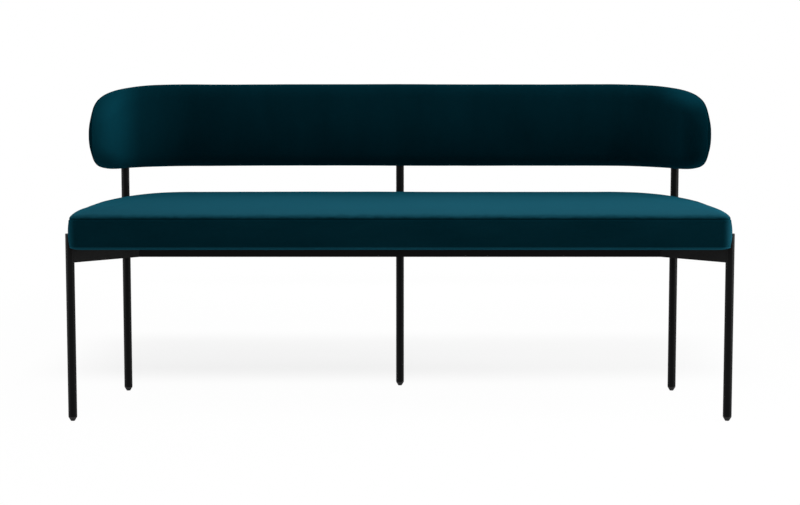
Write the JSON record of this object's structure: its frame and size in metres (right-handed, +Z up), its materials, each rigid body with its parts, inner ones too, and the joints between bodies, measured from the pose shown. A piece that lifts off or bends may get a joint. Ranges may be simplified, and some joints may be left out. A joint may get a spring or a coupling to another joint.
{
  "type": "upholstered bench",
  "caption": "Long upholstered dining bench: boxed velvet seat cushion, curved padded backrest, and a slim black frame of round tube legs and flat bar.",
  "frame": {"origin": "on the floor, under the middle of the bench's box", "axes": "+X along the bench, front facing -Y, +Z up"},
  "size_m": [1.524, 0.5376, 0.7676],
  "materials": {
    "frame_black": "satin",
    "cap_plastic": "satin",
    "glide_plastic": "matte",
    "zinc_steel": "satin",
    "plywood": "matte",
    "foam": "matte",
    "velvet_seat": "matte",
    "velvet_back": "matte",
    "dust_cloth": "matte"
  },
  "bodies": {
    "root": {"backrest_back_cover": "velvet_back", "backrest_back_foam": "foam", "backrest_board": "plywood", "backrest_bracket_center": "frame_black", "backrest_bracket_left": "frame_black", "backrest_bracket_right": "frame_black", "backrest_front_cover": "velvet_back", "backrest_front_foam": "foam", "backrest_inserts": "zinc_steel", "backrest_screws": "zinc_steel", "cross_brace_center": "frame_black", "cross_brace_left": "frame_black", "cross_brace_right": "frame_black", "front_glide_left": "glide_plastic", "front_glide_right": "glide_plastic", "front_leg_left": "frame_black", "front_leg_left_cap": "cap_plastic", "front_leg_right": "frame_black", "front_leg_right_cap": "cap_plastic", "front_rail": "frame_black", "rear_band": "frame_black", "rear_glide_center": "glide_plastic", "rear_glide_left": "glide_plastic", "rear_glide_right": "glide_plastic", "rear_leg_center": "frame_black", "rear_leg_left": "frame_black", "rear_leg_right": "frame_black", "seat_board": "plywood", "seat_boxing": "velvet_seat", "seat_dust_cover": "dust_cloth", "seat_foam": "foam", "seat_inserts": "zinc_steel", "seat_screws": "zinc_steel", "seat_tabs": "frame_black", "seat_top_panel": "velvet_seat", "side_band_left": "frame_black", "side_band_right": "frame_black"}
  },
  "joints": []
}
